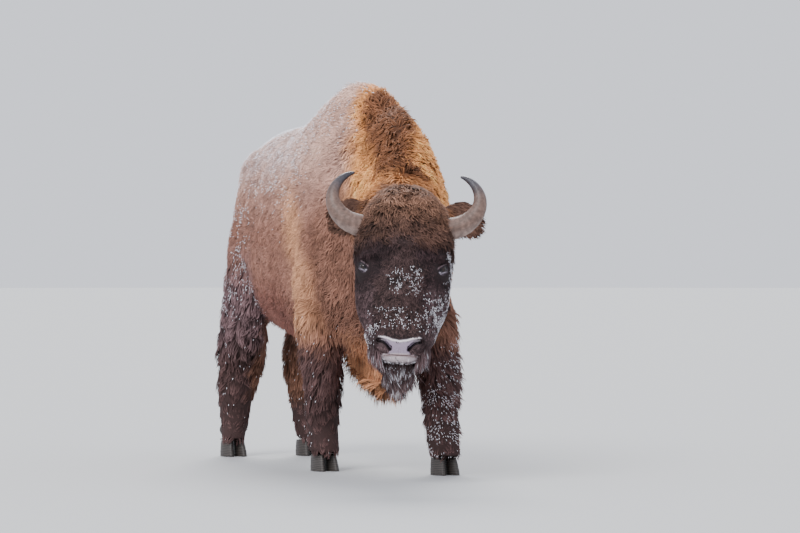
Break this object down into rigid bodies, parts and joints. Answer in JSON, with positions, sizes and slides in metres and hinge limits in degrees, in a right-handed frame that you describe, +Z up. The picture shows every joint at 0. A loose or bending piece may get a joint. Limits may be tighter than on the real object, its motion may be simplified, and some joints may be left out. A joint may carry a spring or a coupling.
{
  "type": "european bison",
  "caption": "Life-size standing model of a European bison in winter coat, walking, with its head lowered and turned to its right.",
  "frame": {"origin": "on the floor under the middle of the bounding box", "axes": "+Z up, the animal walks towards -Y, its right side is at -X"},
  "size_m": [0.8378, 2.6462, 1.6925],
  "materials": {
    "coat_trunk": "woolly tan-brown winter coat",
    "coat_neck": "long curly mane, golden brown with a dark middle",
    "coat_head": "short dark purplish-brown hair, curly on the forehead",
    "coat_leg": "dark brown hair, long on the forearms",
    "horn": "grey-brown ridged horn, darker and smoother at the tips",
    "hoof": "dull black horn",
    "eye": "wet near-black"
  },
  "bodies": {
    "root": {"trunk": "coat_trunk", "neck": "coat_neck", "head": "coat_head", "tail": "coat_leg", "foreleg_left": "coat_leg", "foreleg_right": "coat_leg", "hindleg_left": "coat_leg", "hindleg_right": "coat_leg", "ear_left": "coat_head", "ear_right": "coat_head", "horn_left": "horn", "horn_right": "horn", "eye_left": "eye", "eye_right": "eye", "hoof_front_left_inner": "hoof", "hoof_front_left_outer": "hoof", "hoof_front_right_inner": "hoof", "hoof_front_right_outer": "hoof", "hoof_hind_left_inner": "hoof", "hoof_hind_left_outer": "hoof", "hoof_hind_right_inner": "hoof", "hoof_hind_right_outer": "hoof"}
  },
  "joints": []
}
